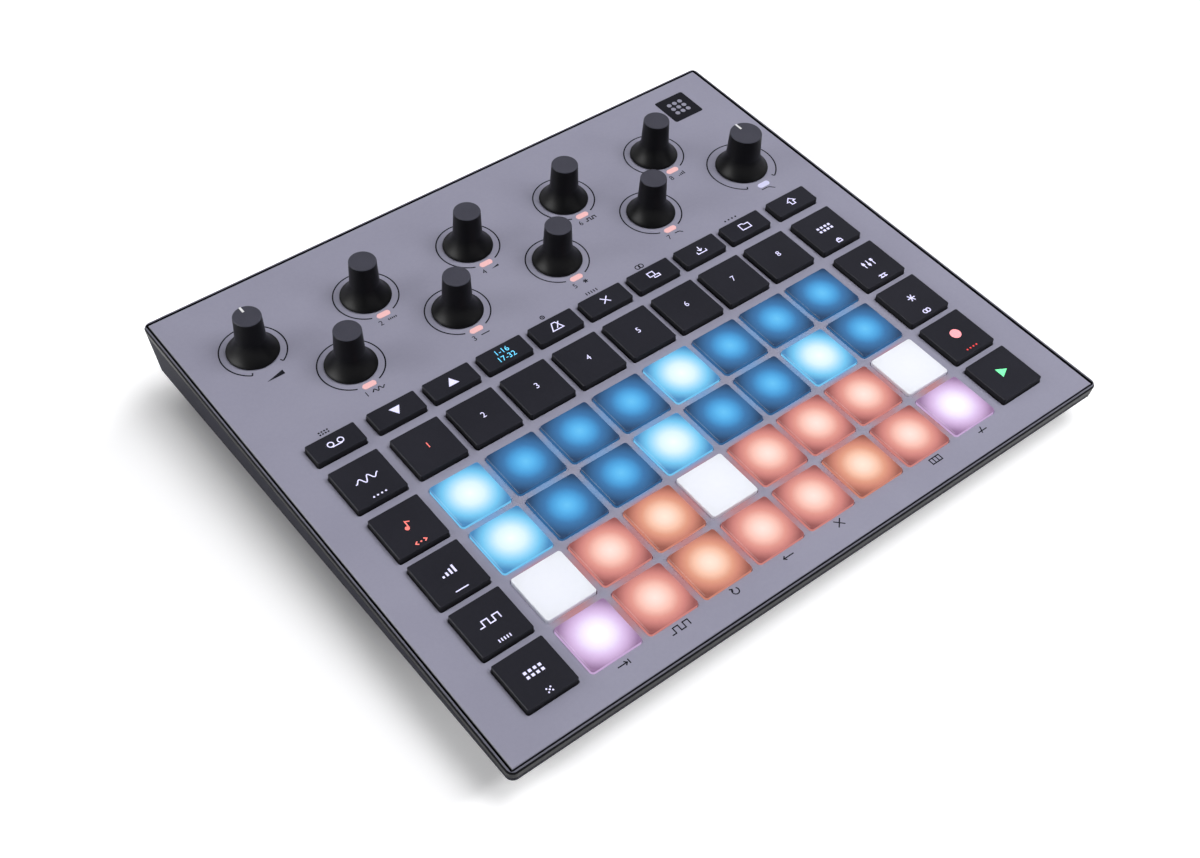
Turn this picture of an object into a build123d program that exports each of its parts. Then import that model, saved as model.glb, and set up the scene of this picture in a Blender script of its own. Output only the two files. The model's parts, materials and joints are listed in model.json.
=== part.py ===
from build123d import *
import os
from math import cos, hypot, radians, sin, sqrt, tan

# A wedge-shaped audio sampler. Millimetres, +Z up, +Y towards the rear, origin under the middle on the table.
# The panel's own frame has its origin in the middle of the panel's top face, with z along the panel's normal.

# Case
CASE_WIDTH = 241.0
CASE_DEPTH = 208.0
CASE_CORNER = 2.5
RIM_DROP = 0.75
RIM_FLARE = 0.4
RIM_LIP = 0.5
FRAME_DEPTH = 3.4
PARTING = 0.2
WALL = 3.0
WALL_DRAFT = 5.5
FLOOR = 2.2
PANEL_TILT = 4.25
PANEL_HEIGHT = 23.4
BAND_FOOT = 10.8
BAND_LEDGE = 0.5
BASE_HEIGHT = 2.5
UNDERCUT_RUN = 9.0

# Top panel
PANEL_THICK = 2.0
PANEL_SIDE_GAP = 0.7
PANEL_END_GAP = 0.5
PANEL_EDGE = 0.35

# Grid of pads, keys and knobs: margins from the case's sides and steps between the rows
COLUMNS = 8
PAD_ROWS = 4
SIDE_MARGIN = 23.88
SIDE_EXTRA = 1.4
FRONT_MARGIN = 21.22
TRACK_EXTRA = 1.14
SMALL_SPACE = 5.0
KNOB_STEP = 27.05
KNOB_ROW_STEP = 24.1

# Pads, square keys and small keys
PAD_SPACE = 2.76
PAD_PROUD = 1.2
PAD_TRAVEL = 1.0
PAD_CORNER = 1.0
PAD_EDGE = 0.4
KEY_SPACE = 3.26
KEY_PROUD = 2.3
KEY_TRAVEL = 1.2
KEY_CORNER = 0.6
KEY_EDGE = 0.2
SMALL_KEY_DEPTH = 8.5
CAP_THICK = 2.0
LIP_CUT_SHARE = 0.4
KEY_GAP = 0.3
FLANGE_WIDTH = 0.5
FLANGE_THICK = 1.0
FLANGE_GAP = 0.15
CHIMNEY_INSET = 1.45
CHIMNEY_WALL = 1.2
STOP_GAP = 0.25

# Boards, mat and lamps
BOARD_DEPTH = 8.0
BOARD_THICK = 1.6
BOARD_SIDE_MARGIN = 11.5
BOARD_EDGE = 1.45
BOARD_CLEAR = 1.7
MAT_THICK = 1.0
MAT_MARGIN = 0.4
MAT_LIP = 0.8
LAMP_SIZE = 3.2
LAMP_HEIGHT = 0.9

# Knobs
KNOB_HEIGHT = 16.3
KNOB_CAP_R = 4.75
KNOB_SKIRT_R = 8.9
FILTER_HEIGHT = 15.9
FILTER_CAP_R = 5.9
FILTER_SKIRT_R = 9.8
KNOB_RIM = 0.35
KNOB_FLARE = 6.4
FLARE_OUT_SHARE = 0.344
FLARE_UP_SHARE = 0.432
KNOB_DRAFT = 0.4
KNOB_EDGE = 0.4
KNOB_LIFT = 0.25
KNOB_SKIRT_WALL = 1.3
KNOB_ROOF = 3.0
SHAFT_R = 3.0
SHAFT_GRIP = 0.02
BUSH_WALL = 0.6
BUSH_RISE = 2.2
BUSH_FIT = 0.05
BUSH_GAP = 0.4
ENCODER_SIZE = 12.0
ENCODER_GAP = 0.3
SHAFT_TAIL = 3.0

# Lamp lenses beside the knobs
LENS_LENGTH = 5.0
LENS_WIDTH = 2.1
LENS_PROUD = 0.15
LENS_GAP = 0.12
LENS_FLANGE = 0.7
LENS_OFFSET = 10.95
FILTER_LENS_OFFSET = 12.4

# Screws and posts
SCREW_R = 1.5
SCREW_HEAD_R = 2.7
SCREW_HEAD_HEIGHT = 1.8
SCREW_GRIP = 4.0
SCREW_REACH = 4.6
SCREW_FIT = 0.1
HEAD_GAP = 0.35
POST_R = 3.2
PILLAR_WALL = 1.5
POST_GAP = 0.3
SIDE_POST_INSET = 15.5
MID_POST_STEP = 12.1

# Rear sockets
SOCKET_HEIGHT = 15.0
SOCKET_MARGIN = 16.0
JACK_COUNT = 5
JACK_WIDTH = 14.5
JACK_BODY_HEIGHT = 11.0
JACK_LENGTH = 19.4
JACK_NOSE_R = 4.6
JACK_BORE_R = 3.2
JACK_PROUD = 1.0
MINI_COUNT = 4
MINI_WIDTH = 7.0
MINI_BODY_HEIGHT = 6.0
MINI_LENGTH = 12.5
MINI_NOSE_R = 2.9
MINI_BORE_R = 1.8
MINI_PROUD = 0.5
SOCKET_GAP = 0.3
SOCKET_SEAT = 0.1
CARD_WIDTH = 13.0
CARD_HEIGHT = 2.6
CARD_LENGTH = 14.0
CARD_SLOT_WIDTH = 11.4
CARD_SLOT_HEIGHT = 1.2
USB_WIDTH = 9.0
USB_HEIGHT = 3.3
USB_LENGTH = 8.5
USB_SKIN = 0.35
USB_TONGUE = 0.7
LOCK_WIDTH = 7.0
LOCK_HEIGHT = 3.0
POWER_R = 3.0
POWER_PROUD = 1.4
POWER_TRAVEL = 0.8
POWER_FLANGE = 0.9
POWER_EDGE = 0.4
SWITCH_SIZE = 6.0
SWITCH_DEPTH = 4.0
REAR_BOARD_EDGE = 1.5
REAR_BOARD_MARGIN = 2.0
REAR_POST_R = 3.0

# Battery and feet
BATTERY_WIDTH = 76.0
BATTERY_DEPTH = 50.0
BATTERY_HEIGHT = 8.5
BATTERY_Y = 34.0
BATTERY_CORNER = 2.0
FOOT_R = 6.5
FOOT_SINK = 0.7
FOOT_GAP = 0.15
FOOT_EDGE = 0.5
FOOT_SIDE_INSET = 28.5
FOOT_FRONT_INSET = 26.0
FOOT_REAR_INSET = 20.0

# Places worked out from the sizes above
LEAN = radians(PANEL_TILT)
RIM_FRONT_Y = -CASE_DEPTH / 2 * cos(LEAN) + RIM_DROP * sin(LEAN)
RIM_REAR_Y = CASE_DEPTH / 2 * cos(LEAN) + RIM_DROP * sin(LEAN)
PANEL_Y = -(RIM_FRONT_Y + RIM_REAR_Y + max(JACK_PROUD, MINI_PROUD, POWER_PROUD)) / 2
REAR_FACE = PANEL_Y + RIM_REAR_Y
FRONT_FACE = PANEL_Y + RIM_FRONT_Y
REAR_INSIDE = REAR_FACE - WALL
SEAT_WIDTH = CASE_WIDTH - 2 * (RIM_FLARE + RIM_LIP)
SEAT_DEPTH = CASE_DEPTH - 2 * (RIM_FLARE + RIM_LIP)
PANEL_WIDTH = SEAT_WIDTH - 2 * PANEL_SIDE_GAP
PANEL_DEPTH = SEAT_DEPTH - 2 * PANEL_END_GAP
WALL_REACH = PANEL_HEIGHT + PANEL_DEPTH * sin(LEAN)
FLOOR_TOP = BASE_HEIGHT + FLOOR
UNDERCUT_SLOPE = UNDERCUT_RUN / (BAND_FOOT - BASE_HEIGHT)
BOARD_BACK = BOARD_DEPTH + BOARD_THICK
MAT_TOP = -BOARD_DEPTH + MAT_THICK
FLANGE_TOP = -PANEL_THICK - FLANGE_GAP
FLANGE_FOOT = FLANGE_TOP - FLANGE_THICK
SCREW_SEAT = -BOARD_BACK - SCREW_GRIP
REAR_BOARD_TOP = SOCKET_HEIGHT - JACK_BODY_HEIGHT / 2
PILLAR_R = SCREW_HEAD_R + HEAD_GAP + PILLAR_WALL
REAR_BOARD_DEPTH = SOCKET_SEAT + JACK_LENGTH + REAR_BOARD_EDGE - REAR_BOARD_MARGIN
FLANGE_CORNER = sqrt(2) * (POST_R + POST_GAP)

# Columns share the width between the side margins
SIDE_X = CASE_WIDTH / 2 - SIDE_MARGIN
PITCH = 2 * (SIDE_X - SIDE_EXTRA) / (COLUMNS + 1)
COLUMN_X = [(i - (COLUMNS - 1) / 2) * PITCH for i in range(COLUMNS)]
ALL_X = [-SIDE_X] + COLUMN_X + [SIDE_X]

# Knob rows stand in front of the rear sockets, and the rows of keys share the depth that is left
UPPER_KNOB_ROW = CASE_DEPTH / 2 - WALL - SOCKET_SEAT - JACK_LENGTH - BOARD_CLEAR - BOARD_EDGE - ENCODER_SIZE / 2
LOWER_KNOB_ROW = UPPER_KNOB_ROW - KNOB_ROW_STEP
SMALL_Y = LOWER_KNOB_ROW - KNOB_STEP
LAST_PAD_ROW = FRONT_MARGIN - CASE_DEPTH / 2
ROW_FIXED = TRACK_EXTRA + (SMALL_KEY_DEPTH - KEY_SPACE) / 2 + SMALL_SPACE
ROW_PITCH = (SMALL_Y - LAST_PAD_ROW - ROW_FIXED) / (PAD_ROWS + 0.5)
PAD_Y = [LAST_PAD_ROW + i * ROW_PITCH for i in reversed(range(PAD_ROWS))]
TRACK_Y = PAD_Y[0] + ROW_PITCH + TRACK_EXTRA
SQUARE_Y = [TRACK_Y] + PAD_Y
PAD_WIDTH = PITCH - PAD_SPACE
PAD_DEPTH = ROW_PITCH - PAD_SPACE
KEY_WIDTH = PITCH - KEY_SPACE
KEY_DEPTH = ROW_PITCH - KEY_SPACE
BOARD_WIDTH = CASE_WIDTH - 2 * BOARD_SIDE_MARGIN
BOARD_FRONT = LAST_PAD_ROW - PAD_DEPTH / 2 - BOARD_EDGE
BOARD_REAR = UPPER_KNOB_ROW + ENCODER_SIZE / 2 + BOARD_EDGE

PADS = [(x, y) for y in PAD_Y for x in COLUMN_X]
TRACK_KEYS = [(x, TRACK_Y) for x in COLUMN_X]
LEFT_KEYS = [(-SIDE_X, y) for y in SQUARE_Y]
RIGHT_KEYS = [(SIDE_X, y) for y in SQUARE_Y]
SMALL_KEYS = [(x, SMALL_Y) for x in ALL_X]
SQUARE_KEYS = TRACK_KEYS + LEFT_KEYS + RIGHT_KEYS

# Macro knobs alternate between the lower and the upper row
MACRO_KNOBS = [(x, UPPER_KNOB_ROW if i % 2 else LOWER_KNOB_ROW) for i, x in enumerate(COLUMN_X)]
VOLUME_KNOB = (-SIDE_X, UPPER_KNOB_ROW)
FILTER_KNOB = (SIDE_X, LOWER_KNOB_ROW)
ALL_KNOBS = MACRO_KNOBS + [VOLUME_KNOB, FILTER_KNOB]
LENSES = [(x, y - LENS_OFFSET) for x, y in MACRO_KNOBS]
LENSES.append((FILTER_KNOB[0], FILTER_KNOB[1] - FILTER_LENS_OFFSET))

# Front posts stand where four pads meet, middle posts behind the small keys, side posts beside the knobs
FRONT_POST = ((COLUMN_X[-1] + COLUMN_X[-2]) / 2, (PAD_Y[-1] + PAD_Y[-2]) / 2)
MIDDLE_POST = (FRONT_POST[0], SMALL_Y + MID_POST_STEP)
SIDE_POST = (CASE_WIDTH / 2 - SIDE_POST_INSET, (UPPER_KNOB_ROW + LOWER_KNOB_ROW) / 2)
POSTS = [(s * x, y) for s in (-1, 1) for x, y in (FRONT_POST, MIDDLE_POST, SIDE_POST)]

# The lock slot, sockets and power button share the rear wall with even spaces between them
REAR_WIDTHS = [LOCK_WIDTH] + JACK_COUNT * [JACK_WIDTH] + MINI_COUNT * [MINI_WIDTH]
REAR_WIDTHS += [CARD_WIDTH, USB_WIDTH, 2 * (POWER_R + SOCKET_GAP + POWER_FLANGE)]
REAR_SPACE = (CASE_WIDTH - 2 * SOCKET_MARGIN - sum(REAR_WIDTHS)) / (len(REAR_WIDTHS) - 1)
REAR_X = [SOCKET_MARGIN - CASE_WIDTH / 2 + sum(REAR_WIDTHS[:i]) + i * REAR_SPACE + width / 2
          for i, width in enumerate(REAR_WIDTHS)]
LOCK_X = REAR_X[0]
JACK_X = REAR_X[1:1 + JACK_COUNT]
MINI_X = REAR_X[1 + JACK_COUNT:1 + JACK_COUNT + MINI_COUNT]
CARD_X, USB_X, POWER_X = REAR_X[-3:]
FEET = [(s * (CASE_WIDTH / 2 - FOOT_SIDE_INSET), y) for s in (-1, 1)
        for y in (FOOT_FRONT_INSET - CASE_DEPTH / 2, CASE_DEPTH / 2 - FOOT_REAR_INSET)]

PANEL_FRAME = Location((0, PANEL_Y, PANEL_HEIGHT), (PANEL_TILT, 0, 0))
HUGE = 2 * (CASE_WIDTH + CASE_DEPTH)


def tilted(shape):
    """Carry a shape from the panel's frame to the object's frame."""
    return PANEL_FRAME * shape


def block(width, depth, low, high, corner=0.0, y=0.0):
    """An upright block with rounded corners between two heights."""
    outline = RectangleRounded(width, depth, corner) if corner else Rectangle(width, depth)
    return Pos(0, y, low) * extrude(outline, high - low)


def post(radius, low, high):
    """An upright round post between two heights."""
    return Pos(0, 0, low) * extrude(Circle(radius), high - low)


def at(places, shape):
    """Copies of a shape at each (x, y) place."""
    return [Pos(x, y, 0) * shape for x, y in places]


def frustum(low, high):
    """A block whose rounded outline changes evenly from low to high: (width, depth, corner, y, z) each."""
    outlines = [Pos(0, y, z) * RectangleRounded(w, d, r) for w, d, r, y, z in (low, high)]
    return loft(outlines, ruled=True)


def below(height):
    """Everything lower than a height."""
    return block(HUGE, HUGE, height - HUGE, height)


def rearward(sketch, start, end):
    """A sketch drawn as (x, z) on the rear wall, extruded along Y from start to end."""
    return extrude(Plane((0, start, 0), x_dir=(-1, 0, 0), z_dir=(0, 1, 0)) * sketch, end - start)


def rear_place(x, z=SOCKET_HEIGHT):
    """A place on the rear wall, in the wall's own drawing directions."""
    return Pos(-x, z)


def wall_outline(inset, depth):
    """Outline of the case wall in the panel's frame: drafted at the front and sides, upright at the rear."""
    draw = inset + (depth - RIM_DROP) * tan(radians(WALL_DRAFT))
    rear_draw = inset + (depth - RIM_DROP) * tan(LEAN)
    corner = max(CASE_CORNER - inset, CASE_CORNER / 4)
    return CASE_WIDTH - 2 * draw, CASE_DEPTH - draw - rear_draw, corner, (draw - rear_draw) / 2, -depth


def wall_fall(y):
    """How far the wall comes down from the rim to the foot of the band, at a place along the panel."""
    return (PANEL_HEIGHT + y * sin(LEAN) - BAND_FOOT) / cos(LEAN) - RIM_DROP


def base_form(inset, rear, floor):
    """The base below the wall band: sloped in at the front and sides, upright at the rear."""
    side_draw = wall_fall(CASE_DEPTH / 2) * tan(radians(WALL_DRAFT)) + BAND_LEDGE
    front_draw = wall_fall(-CASE_DEPTH / 2) * tan(radians(WALL_DRAFT + PANEL_TILT)) + BAND_LEDGE
    outlines = []
    for height in (floor, BAND_FOOT):
        draw = inset + (BAND_FOOT - height) * UNDERCUT_SLOPE
        front = FRONT_FACE + front_draw + draw
        width = CASE_WIDTH - 2 * (side_draw + draw)
        outlines.append((width, rear - front, CASE_CORNER, (front + rear) / 2, height))
    return frustum(*outlines)


def case_hollow(low, high):
    """The hollow inside the case wall between two depths below the panel's top."""
    return frustum(wall_outline(WALL, high), wall_outline(WALL, low))


def rim_frame():
    """Black frame round the panel: chamfered rim, panel seat and a parting groove above the base."""
    rim_top = (CASE_WIDTH - 2 * RIM_FLARE, CASE_DEPTH - 2 * RIM_FLARE, CASE_CORNER - RIM_FLARE, 0, 0)
    rim = frustum(wall_outline(0, RIM_DROP), rim_top)
    wall = frustum(wall_outline(0, FRAME_DEPTH - PARTING), wall_outline(0, RIM_DROP))
    bevel = frustum(wall_outline(PARTING, FRAME_DEPTH), wall_outline(0, FRAME_DEPTH - PARTING))
    seat = block(SEAT_WIDTH, SEAT_DEPTH, -PANEL_THICK, RIM_DROP, CASE_CORNER / 4)
    return rim + wall + bevel - seat - case_hollow(PANEL_THICK, FRAME_DEPTH)


def case_outside():
    """The drafted wall band below the frame and the undercut base as one solid."""
    bevel = frustum(wall_outline(0, FRAME_DEPTH + PARTING), wall_outline(PARTING, FRAME_DEPTH))
    wall = frustum(wall_outline(0, WALL_REACH), wall_outline(0, FRAME_DEPTH + PARTING))
    band = tilted(bevel + wall) - below(BAND_FOOT)
    return band + base_form(0, REAR_FACE, BASE_HEIGHT)


def base_shell():
    """Lower case: outer shell, screw pillars, foot recesses and rear openings."""
    outside = case_outside()
    slant_wall = FLOOR * hypot(1, UNDERCUT_SLOPE)
    shell = outside - (tilted(case_hollow(FRAME_DEPTH, WALL_REACH)) - below(BAND_FOOT))
    shell -= base_form(slant_wall, REAR_INSIDE, FLOOR_TOP)
    pillars = Part() + at(POSTS, post(PILLAR_R, -WALL_REACH, -BOARD_BACK))
    shell += tilted(pillars) & outside
    rear_posts = [(x, REAR_INSIDE - REAR_BOARD_DEPTH / 2) for x in (JACK_X[0], 0, CARD_X)]
    shell += at(rear_posts, post(REAR_POST_R, FLOOR_TOP - FLOOR / 2, REAR_BOARD_TOP - BOARD_THICK))
    head_room = Part() + at(POSTS, post(SCREW_HEAD_R + HEAD_GAP, -WALL_REACH, SCREW_SEAT))
    shank_room = Part() + at(POSTS, post(SCREW_R + SCREW_FIT, SCREW_SEAT, 0))
    shell -= tilted(head_room)
    shell -= tilted(shank_room)
    shell -= Part() + at(FEET, post(FOOT_R + FOOT_GAP, 0, BASE_HEIGHT + FOOT_SINK))
    return shell - rear_openings()


def rear_openings():
    """Openings through the rear wall for the sockets, the power button and a lock."""
    holes = [rear_place(x) * Circle(JACK_NOSE_R + SOCKET_GAP) for x in JACK_X]
    holes += [rear_place(x) * Circle(MINI_NOSE_R + SOCKET_GAP) for x in MINI_X]
    holes.append(rear_place(POWER_X) * Circle(POWER_R + SOCKET_GAP))
    holes.append(rear_place(LOCK_X) * SlotOverall(LOCK_WIDTH, LOCK_HEIGHT))
    holes.append(rear_place(CARD_X) * Rectangle(CARD_WIDTH + 2 * SOCKET_GAP, CARD_HEIGHT + 2 * SOCKET_GAP))
    holes.append(rear_place(USB_X) * SlotOverall(USB_WIDTH + 2 * SOCKET_GAP, USB_HEIGHT + 2 * SOCKET_GAP))
    return [rearward(hole, REAR_INSIDE - WALL / 2, REAR_FACE + WALL) for hole in holes]


def top_panel():
    """Grey panel plate with its openings, and the screw posts under it."""
    plate = block(PANEL_WIDTH, PANEL_DEPTH, -PANEL_THICK, 0)
    plate = chamfer(plate.faces().sort_by(Axis.Z)[-1].edges(), PANEL_EDGE)
    posts = Part() + at(POSTS, post(POST_R, -BOARD_DEPTH, -PANEL_THICK))
    openings = at(PADS, key_opening(PAD_WIDTH, PAD_DEPTH, PAD_CORNER))
    openings += at(SQUARE_KEYS, key_opening(KEY_WIDTH, KEY_DEPTH, KEY_CORNER))
    openings += at(SMALL_KEYS, key_opening(KEY_WIDTH, SMALL_KEY_DEPTH, KEY_CORNER))
    bush_room = SHAFT_R + BUSH_FIT + BUSH_WALL + BUSH_GAP
    openings += at(ALL_KNOBS, post(bush_room, -2 * PANEL_THICK, PANEL_THICK))
    slot = SlotOverall(LENS_LENGTH + 2 * LENS_GAP, LENS_WIDTH + 2 * LENS_GAP)
    openings += at(LENSES, Pos(0, 0, -2 * PANEL_THICK) * extrude(slot, 3 * PANEL_THICK))
    threads = at(POSTS, post(SCREW_R, SCREW_SEAT, SCREW_SEAT + SCREW_GRIP + BOARD_THICK + SCREW_REACH + SCREW_FIT))
    return (plate - openings) + posts - threads


def key_opening(width, depth, corner):
    """The hole in the panel that a key moves in."""
    return block(width + 2 * KEY_GAP, depth + 2 * KEY_GAP, -2 * PANEL_THICK, PANEL_THICK, corner + KEY_GAP)


def key_cap(width, depth, proud, corner, edge, travel):
    """A hollow cap with a lip under the panel and a light chimney that stops on the mat."""
    foot = MAT_TOP + travel + STOP_GAP
    waist = travel + FLANGE_GAP - PANEL_THICK
    cap = block(width, depth, waist, proud, corner)
    cap = fillet(cap.faces().sort_by(Axis.Z)[-1].edges(), edge)
    reach = KEY_GAP + FLANGE_WIDTH
    cut = min(FLANGE_CORNER, LIP_CUT_SHARE * min(width, depth))
    lip = block(width + 2 * reach, depth + 2 * reach, FLANGE_FOOT, FLANGE_TOP)
    lip = chamfer(lip.edges().filter_by(Axis.Z), cut)
    neck = block(width, depth, FLANGE_FOOT, waist)
    neck = chamfer(neck.edges().filter_by(Axis.Z), max(cut - 2 * reach, corner / 2))
    chimney_width = width - 2 * CHIMNEY_INSET
    chimney_depth = depth - 2 * CHIMNEY_INSET
    chimney = block(chimney_width, chimney_depth, foot, FLANGE_FOOT)
    hollow_width = chimney_width - 2 * CHIMNEY_WALL
    hollow_depth = chimney_depth - 2 * CHIMNEY_WALL
    hollow = block(hollow_width, hollow_depth, foot, proud - CAP_THICK)
    return cap + neck + lip + chimney - hollow


def pad():
    """A lit pad."""
    return key_cap(PAD_WIDTH, PAD_DEPTH, PAD_PROUD, PAD_CORNER, PAD_EDGE, PAD_TRAVEL)


def square_key():
    """A black square key."""
    return key_cap(KEY_WIDTH, KEY_DEPTH, KEY_PROUD, KEY_CORNER, KEY_EDGE, KEY_TRAVEL)


def small_key():
    """A black narrow key."""
    return key_cap(KEY_WIDTH, SMALL_KEY_DEPTH, KEY_PROUD, KEY_CORNER, KEY_EDGE, KEY_TRAVEL)


def knob(height, cap_r, skirt_r):
    """A bell-skirted knob, hollow under the skirt, and the shaft in its bore."""
    rim_top = KNOB_LIFT + KNOB_RIM
    neck = rim_top + KNOB_FLARE
    neck_r = cap_r + KNOB_DRAFT
    hollow_r = skirt_r - KNOB_SKIRT_WALL
    roof_r = neck_r - KNOB_SKIRT_WALL / 2
    bore_r = SHAFT_R + SHAFT_GRIP
    bore_top = height - KNOB_ROOF
    bow = (neck_r + (skirt_r - neck_r) * FLARE_OUT_SHARE, rim_top + KNOB_FLARE * FLARE_UP_SHARE)
    sides = Polyline((bore_r, neck - KNOB_FLARE / 2), (bore_r, bore_top), (0, bore_top), (0, height),
                     (cap_r - KNOB_EDGE, height), (cap_r, height - KNOB_EDGE), (neck_r, neck))
    flare = ThreePointArc((neck_r, neck), bow, (skirt_r, rim_top))
    skirt = Polyline((skirt_r, rim_top), (skirt_r, KNOB_LIFT), (hollow_r, KNOB_LIFT), (hollow_r, rim_top),
                     (roof_r, neck - KNOB_FLARE / 2), (bore_r, neck - KNOB_FLARE / 2))
    cap = revolve(Plane.XZ * make_face(sides + flare + skirt), Axis.Z)
    shaft = post(SHAFT_R, -BOARD_DEPTH + SHAFT_TAIL, bore_top - SHAFT_GRIP)
    return [cap, shaft]


def encoder():
    """A rotary encoder on the board, with the bush that its shaft turns in."""
    body_top = -PANEL_THICK - ENCODER_GAP
    bore_r = SHAFT_R + BUSH_FIT
    body = block(ENCODER_SIZE, ENCODER_SIZE, -BOARD_DEPTH, body_top)
    bush = post(bore_r + BUSH_WALL, body_top, BUSH_RISE)
    bore = post(bore_r, -BOARD_DEPTH + SHAFT_TAIL - BUSH_FIT, BUSH_RISE)
    return body + bush - bore


def lens():
    """A pill-shaped lamp lens, held by its lip under the panel."""
    pill = Pos(0, 0, -PANEL_THICK) * extrude(SlotOverall(LENS_LENGTH, LENS_WIDTH), PANEL_THICK + LENS_PROUD)
    lip_outline = SlotOverall(LENS_LENGTH + 2 * LENS_FLANGE, LENS_WIDTH + 2 * LENS_FLANGE)
    lip = Pos(0, 0, -PANEL_THICK - LENS_FLANGE) * extrude(lip_outline, LENS_FLANGE)
    return pill + lip


def keypad_mat():
    """Soft mat on the key board, with a window for the lamp under each key."""
    margin = FLANGE_WIDTH + KEY_GAP + MAT_MARGIN
    front = PAD_Y[-1] - PAD_DEPTH / 2 - margin
    rear = SMALL_Y + SMALL_KEY_DEPTH / 2 + margin
    width = 2 * (SIDE_X + KEY_WIDTH / 2 + margin)
    sheet = block(width, rear - front, -BOARD_DEPTH, MAT_TOP, 0, (front + rear) / 2)
    edge = 2 * (CHIMNEY_INSET + MAT_LIP)
    windows = at(PADS, block(PAD_WIDTH - edge, PAD_DEPTH - edge, -BOARD_DEPTH, MAT_TOP))
    windows += at(SQUARE_KEYS, block(KEY_WIDTH - edge, KEY_DEPTH - edge, -BOARD_DEPTH, MAT_TOP))
    windows += at(SMALL_KEYS, block(KEY_WIDTH - edge, SMALL_KEY_DEPTH - edge, -BOARD_DEPTH, MAT_TOP))
    inside_front = [place for place in POSTS if front < place[1] < rear + POST_R + POST_GAP]
    windows += at(inside_front, post(POST_R + POST_GAP, -BOARD_DEPTH, MAT_TOP))
    return sheet - windows


def circuit_boards():
    """The key board with a lamp under every key, the rear socket board and the switch behind the power button."""
    middle = (BOARD_FRONT + BOARD_REAR) / 2
    key_board = block(BOARD_WIDTH, BOARD_REAR - BOARD_FRONT, -BOARD_BACK, -BOARD_DEPTH, 0, middle)
    key_board -= at(POSTS, post(SCREW_R + SCREW_FIT, -BOARD_BACK, -BOARD_DEPTH))
    left = min(JACK_X) - JACK_WIDTH / 2 - REAR_BOARD_MARGIN
    right = POWER_X + SWITCH_SIZE / 2 + REAR_BOARD_MARGIN
    rear = REAR_INSIDE - REAR_BOARD_MARGIN
    plate = block(right - left, REAR_BOARD_DEPTH, REAR_BOARD_TOP - BOARD_THICK, REAR_BOARD_TOP)
    socket_board = Pos((left + right) / 2, rear - REAR_BOARD_DEPTH / 2, 0) * plate
    switch_front = REAR_INSIDE - POWER_FLANGE - POWER_TRAVEL - STOP_GAP
    switch_height = SOCKET_HEIGHT + SWITCH_SIZE / 2 - REAR_BOARD_TOP
    switch_outline = Pos(0, -SWITCH_SIZE / 2 + switch_height / 2) * Rectangle(SWITCH_SIZE, switch_height)
    switch_outline = rear_place(POWER_X, REAR_BOARD_TOP + SWITCH_SIZE / 2) * switch_outline
    switch = rearward(switch_outline, switch_front - SWITCH_DEPTH, switch_front)
    lamp = block(LAMP_SIZE, LAMP_SIZE, -BOARD_DEPTH, -BOARD_DEPTH + LAMP_HEIGHT)
    lamps = [tilted(chip) for chip in at(PADS + SQUARE_KEYS + SMALL_KEYS, lamp)]
    return [tilted(key_board), socket_board, switch] + lamps


def socket(x, width, height, length, nose_r, bore_r, proud):
    """A round plug socket: a body behind the rear wall, a nose through it and a bore through both."""
    back = REAR_INSIDE - SOCKET_SEAT
    tip = REAR_FACE + proud
    body = rearward(rear_place(x) * Rectangle(width, height), back - length, back)
    nose = rearward(rear_place(x) * Circle(nose_r), back, tip)
    bore = rearward(rear_place(x) * Circle(bore_r), back - length, tip)
    return body + nose - bore


def audio_jacks():
    """Five 6.35 mm sockets on the socket board."""
    sizes = (JACK_WIDTH, JACK_BODY_HEIGHT, JACK_LENGTH, JACK_NOSE_R, JACK_BORE_R, JACK_PROUD)
    return [socket(x, *sizes) for x in JACK_X]


def mini_jacks():
    """Four 3.5 mm sockets, each on a foot down to the socket board."""
    sizes = (MINI_WIDTH, MINI_BODY_HEIGHT, MINI_LENGTH, MINI_NOSE_R, MINI_BORE_R, MINI_PROUD)
    return [socket(x, *sizes) + socket_foot(x, MINI_WIDTH, MINI_BODY_HEIGHT, MINI_LENGTH) for x in MINI_X]


def socket_foot(x, width, height, length):
    """The block that carries a low socket on the socket board."""
    rise = SOCKET_HEIGHT - height / 2 - REAR_BOARD_TOP
    outline = rear_place(x, REAR_BOARD_TOP + rise / 2) * Rectangle(width, rise)
    end = REAR_INSIDE - REAR_BOARD_MARGIN
    return rearward(outline, REAR_INSIDE - SOCKET_SEAT - length, end)


def data_sockets():
    """The data socket with its tongue, and the memory card holder."""
    rim = REAR_FACE
    usb_back = rim - USB_LENGTH
    inner = SlotOverall(USB_WIDTH - 2 * USB_SKIN, USB_HEIGHT - 2 * USB_SKIN)
    usb = rearward(rear_place(USB_X) * SlotOverall(USB_WIDTH, USB_HEIGHT), usb_back, rim)
    usb -= rearward(rear_place(USB_X) * inner, usb_back + USB_SKIN, rim)
    tongue = rear_place(USB_X) * Rectangle(USB_WIDTH - USB_HEIGHT, USB_TONGUE)
    usb += rearward(tongue, usb_back, rim - USB_HEIGHT / 2)
    usb += socket_foot(USB_X, USB_WIDTH - USB_HEIGHT, USB_HEIGHT, USB_LENGTH - WALL)
    card = rearward(rear_place(CARD_X) * Rectangle(CARD_WIDTH, CARD_HEIGHT), rim - CARD_LENGTH, rim)
    card -= rearward(rear_place(CARD_X) * Rectangle(CARD_SLOT_WIDTH, CARD_SLOT_HEIGHT), rim - CARD_LENGTH, rim)
    card += socket_foot(CARD_X, CARD_WIDTH, CARD_HEIGHT, CARD_LENGTH - WALL)
    return [usb, card]


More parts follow.
